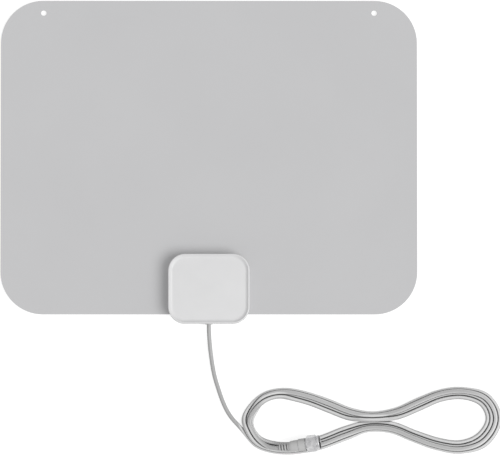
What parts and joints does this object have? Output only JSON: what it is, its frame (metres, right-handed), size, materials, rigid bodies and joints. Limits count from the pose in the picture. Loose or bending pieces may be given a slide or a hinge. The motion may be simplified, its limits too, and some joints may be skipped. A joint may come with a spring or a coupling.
{
  "type": "flat indoor tv antenna",
  "caption": "Thin flat indoor television antenna sheet with a small feed pod on its lower edge and a coiled coaxial lead that ends in a screw-on plug.",
  "frame": {"origin": "middle of the sheet and pod seen from the front, on the surface that the antenna lies on", "axes": "+Z out of the front of the sheet, +Y up the sheet to its hanging holes, +X to the right seen from the front"},
  "size_m": [0.3667, 0.3325, 0.0193],
  "materials": {
    "film": "matte grey, very slightly textured",
    "foil": "bright foil",
    "shell": "fine satin moulding",
    "screw_steel": "plated steel",
    "board": "green solder mask",
    "ferrite": "matte sintered",
    "copper": "enamelled wire",
    "ceramic": "fired ceramic",
    "spring_brass": "bright strip",
    "jacket": "satin soft PVC",
    "dielectric": "white foam polyethylene",
    "plug_metal": "nickel plate"
  },
  "bodies": {
    "antenna": {"front_film": "film", "rear_film": "film", "radiator_left": "foil", "radiator_right": "foil", "pod_front_cover": "shell", "pod_rear_cover": "shell", "pod_screws": "screw_steel", "circuit_board": "board", "balun_core": "ferrite", "balun_primary": "copper", "balun_secondary": "copper", "chip_capacitors": "ceramic", "feed_contact_left": "spring_brass", "feed_contact_right": "spring_brass", "cable_grommet": "jacket", "cable_clamp": "screw_steel", "clamp_screws": "screw_steel", "lead_braid": "foil", "lead_dielectric": "dielectric", "lead_conductor": "copper", "cord_lead": "jacket", "cord_hank": "jacket", "cord_tail": "jacket", "plug_boot": "jacket", "plug_ferrule": "plug_metal", "plug_post": "plug_metal", "plug_insulator": "dielectric", "plug_pin": "plug_metal"},
    "nut": {"coupling_nut": "plug_metal"}
  },
  "joints": [
    {"name": "nut_spin", "type": "hinge", "parent": "antenna", "child": "nut", "pos_m": [0.07159, -0.20629, 0.01226], "axis": [0.9752, 0.1371, 0.1736], "continuous": true}
  ]
}
